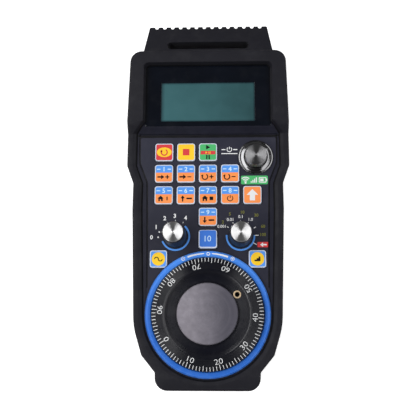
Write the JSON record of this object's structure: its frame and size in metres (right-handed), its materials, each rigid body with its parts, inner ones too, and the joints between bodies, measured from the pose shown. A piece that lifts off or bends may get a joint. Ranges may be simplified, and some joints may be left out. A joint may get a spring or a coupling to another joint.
{
  "type": "pulse generator handwheel pendant",
  "caption": "Handheld machine control pendant with a graduated handwheel, selector knobs, keys, power switch and display in a rubber jacket.",
  "frame": {"origin": "middle of the back, on the surface that the pendant lies on", "axes": "+Z out of the control panel, +Y towards the display and the top bar, +X to the right seen from the front"},
  "size_m": [0.0906, 0.2054, 0.0465],
  "materials": {
    "rubber_jacket": "matte moulded rubber",
    "front_shell": "fine-textured moulded plastic",
    "rear_shell": "fine-textured moulded plastic",
    "case_gasket": "soft seal",
    "case_screws": "zinc-plated",
    "case_inserts": "turned",
    "panel_overlay": "textured printed film",
    "display_lens": "polished",
    "lcd_glass": "glass over a grey-green liquid crystal",
    "lcd_frame": "tinned sheet",
    "lcd_board": "solder mask",
    "lcd_flex": "polyimide",
    "main_board": "solder mask",
    "tact_switches": "moulded",
    "radio_module": "shield can",
    "board_screws": "zinc-plated",
    "wheel_bezel": "anodised blue",
    "encoder_housing": "die cast",
    "encoder_cover": "moulded",
    "encoder_board": "solder mask",
    "encoder_lead": "flat cable",
    "encoder_screws": "zinc-plated",
    "shaft_bearings": "polished",
    "wheel_dial": "smooth black",
    "wheel_disc": "brushed, worn",
    "crank_insert": "turned",
    "wheel_shaft": "turned",
    "code_disc": "slotted film",
    "wheel_set_screw": "black oxide",
    "axis_switch": "die cast",
    "step_switch": "die cast",
    "panel_nuts": "zinc-plated",
    "axis_shaft": "turned",
    "axis_knob": "satin",
    "axis_knob_cap": "spun",
    "step_shaft": "turned",
    "step_knob": "satin",
    "step_knob_cap": "spun",
    "power_bezel": "polished",
    "power_switch": "moulded",
    "power_button": "spun",
    "batteries": "sleeved",
    "battery_contacts": "nickel-plated",
    "battery_cover": "moulded",
    "key_reset": "printed film over a moulded cap",
    "key_stop": "printed film over a moulded cap",
    "key_start": "printed film over a moulded cap",
    "key_shift": "printed film over a moulded cap",
    "key_10": "printed film over a moulded cap",
    "key_continuous": "printed film over a moulded cap",
    "key_step": "printed film over a moulded cap",
    "key_1": "printed film over a moulded cap",
    "key_2": "printed film over a moulded cap",
    "key_3": "printed film over a moulded cap",
    "key_4": "printed film over a moulded cap",
    "key_5": "printed film over a moulded cap",
    "key_6": "printed film over a moulded cap",
    "key_7": "printed film over a moulded cap",
    "key_8": "printed film over a moulded cap",
    "key_9": "printed film over a moulded cap"
  },
  "bodies": {
    "pendant": {"rubber_jacket": "rubber_jacket", "front_shell": "front_shell", "rear_shell": "rear_shell", "case_gasket": "case_gasket", "case_screws": "case_screws", "case_inserts": "case_inserts", "panel_overlay": "panel_overlay", "display_lens": "display_lens", "lcd_glass": "lcd_glass", "lcd_frame": "lcd_frame", "lcd_board": "lcd_board", "lcd_flex": "lcd_flex", "main_board": "main_board", "tact_switches": "tact_switches", "radio_module": "radio_module", "board_screws": "board_screws", "wheel_bezel": "wheel_bezel", "encoder_housing": "encoder_housing", "encoder_cover": "encoder_cover", "encoder_board": "encoder_board", "encoder_lead": "encoder_lead", "encoder_screws": "encoder_screws", "shaft_bearings": "shaft_bearings", "axis_switch": "axis_switch", "step_switch": "step_switch", "panel_nuts": "panel_nuts", "power_bezel": "power_bezel", "power_switch": "power_switch", "batteries": "batteries", "battery_contacts": "battery_contacts"},
    "handwheel": {"wheel_dial": "wheel_dial", "wheel_disc": "wheel_disc", "crank_insert": "crank_insert", "wheel_shaft": "wheel_shaft", "code_disc": "code_disc", "wheel_set_screw": "wheel_set_screw"},
    "axis_selector": {"axis_shaft": "axis_shaft", "axis_knob": "axis_knob", "axis_knob_cap": "axis_knob_cap"},
    "step_selector": {"step_shaft": "step_shaft", "step_knob": "step_knob", "step_knob_cap": "step_knob_cap"},
    "power_push_button": {"power_button": "power_button"},
    "battery_lid": {"battery_cover": "battery_cover"},
    "key_reset_cap": {"key_reset": "key_reset"},
    "key_stop_cap": {"key_stop": "key_stop"},
    "key_start_cap": {"key_start": "key_start"},
    "key_1_cap": {"key_1": "key_1"},
    "key_2_cap": {"key_2": "key_2"},
    "key_3_cap": {"key_3": "key_3"},
    "key_4_cap": {"key_4": "key_4"},
    "key_5_cap": {"key_5": "key_5"},
    "key_6_cap": {"key_6": "key_6"},
    "key_7_cap": {"key_7": "key_7"},
    "key_8_cap": {"key_8": "key_8"},
    "key_shift_cap": {"key_shift": "key_shift"},
    "key_9_cap": {"key_9": "key_9"},
    "key_10_cap": {"key_10": "key_10"},
    "key_continuous_cap": {"key_continuous": "key_continuous"},
    "key_step_cap": {"key_step": "key_step"}
  },
  "joints": [
    {"name": "handwheel_spin", "type": "hinge", "parent": "pendant", "child": "handwheel", "pos_m": [0, -0.0625, 0], "axis": [0, 0, 1], "continuous": true},
    {"name": "axis_selector_turn", "type": "hinge", "parent": "pendant", "child": "axis_selector", "pos_m": [-0.0179, -0.0203, 0], "axis": [0, 0, 1], "range_deg": [-120, 0]},
    {"name": "step_selector_turn", "type": "hinge", "parent": "pendant", "child": "step_selector", "pos_m": [0.0179, -0.0203, 0], "axis": [0, 0, 1], "range_deg": [-180, 0]},
    {"name": "power_push", "type": "slide", "parent": "pendant", "child": "power_push_button", "axis": [0, 0, -1], "range_m": [0, 0.0022], "stiffness_N_per_m": 600, "springref_m": -0.002},
    {"name": "battery_lid_slide", "type": "slide", "parent": "pendant", "child": "battery_lid", "axis": [0, -1, 0], "range_m": [0, 0.005]},
    {"name": "key_reset_press", "type": "slide", "parent": "pendant", "child": "key_reset_cap", "axis": [0, 0, -1], "range_m": [0, 0.0006], "stiffness_N_per_m": 1200, "springref_m": -0.0008},
    {"name": "key_stop_press", "type": "slide", "parent": "pendant", "child": "key_stop_cap", "axis": [0, 0, -1], "range_m": [0, 0.0006], "stiffness_N_per_m": 1200, "springref_m": -0.0008},
    {"name": "key_start_press", "type": "slide", "parent": "pendant", "child": "key_start_cap", "axis": [0, 0, -1], "range_m": [0, 0.0006], "stiffness_N_per_m": 1200, "springref_m": -0.0008},
    {"name": "key_1_press", "type": "slide", "parent": "pendant", "child": "key_1_cap", "axis": [0, 0, -1], "range_m": [0, 0.0006], "stiffness_N_per_m": 1200, "springref_m": -0.0008},
    {"name": "key_2_press", "type": "slide", "parent": "pendant", "child": "key_2_cap", "axis": [0, 0, -1], "range_m": [0, 0.0006], "stiffness_N_per_m": 1200, "springref_m": -0.0008},
    {"name": "key_3_press", "type": "slide", "parent": "pendant", "child": "key_3_cap", "axis": [0, 0, -1], "range_m": [0, 0.0006], "stiffness_N_per_m": 1200, "springref_m": -0.0008},
    {"name": "key_4_press", "type": "slide", "parent": "pendant", "child": "key_4_cap", "axis": [0, 0, -1], "range_m": [0, 0.0006], "stiffness_N_per_m": 1200, "springref_m": -0.0008},
    {"name": "key_5_press", "type": "slide", "parent": "pendant", "child": "key_5_cap", "axis": [0, 0, -1], "range_m": [0, 0.0006], "stiffness_N_per_m": 1200, "springref_m": -0.0008},
    {"name": "key_6_press", "type": "slide", "parent": "pendant", "child": "key_6_cap", "axis": [0, 0, -1], "range_m": [0, 0.0006], "stiffness_N_per_m": 1200, "springref_m": -0.0008},
    {"name": "key_7_press", "type": "slide", "parent": "pendant", "child": "key_7_cap", "axis": [0, 0, -1], "range_m": [0, 0.0006], "stiffness_N_per_m": 1200, "springref_m": -0.0008},
    {"name": "key_8_press", "type": "slide", "parent": "pendant", "child": "key_8_cap", "axis": [0, 0, -1], "range_m": [0, 0.0006], "stiffness_N_per_m": 1200, "springref_m": -0.0008},
    {"name": "key_shift_press", "type": "slide", "parent": "pendant", "child": "key_shift_cap", "axis": [0, 0, -1], "range_m": [0, 0.0006], "stiffness_N_per_m": 1200, "springref_m": -0.0008},
    {"name": "key_9_press", "type": "slide", "parent": "pendant", "child": "key_9_cap", "axis": [0, 0, -1], "range_m": [0, 0.0006], "stiffness_N_per_m": 1200, "springref_m": -0.0008},
    {"name": "key_10_press", "type": "slide", "parent": "pendant", "child": "key_10_cap", "axis": [0, 0, -1], "range_m": [0, 0.0006], "stiffness_N_per_m": 1200, "springref_m": -0.0008},
    {"name": "key_continuous_press", "type": "slide", "parent": "pendant", "child": "key_continuous_cap", "axis": [0, 0, -1], "range_m": [0, 0.0006], "stiffness_N_per_m": 1200, "springref_m": -0.0008},
    {"name": "key_step_press", "type": "slide", "parent": "pendant", "child": "key_step_cap", "axis": [0, 0, -1], "range_m": [0, 0.0006], "stiffness_N_per_m": 1200, "springref_m": -0.0008}
  ]
}
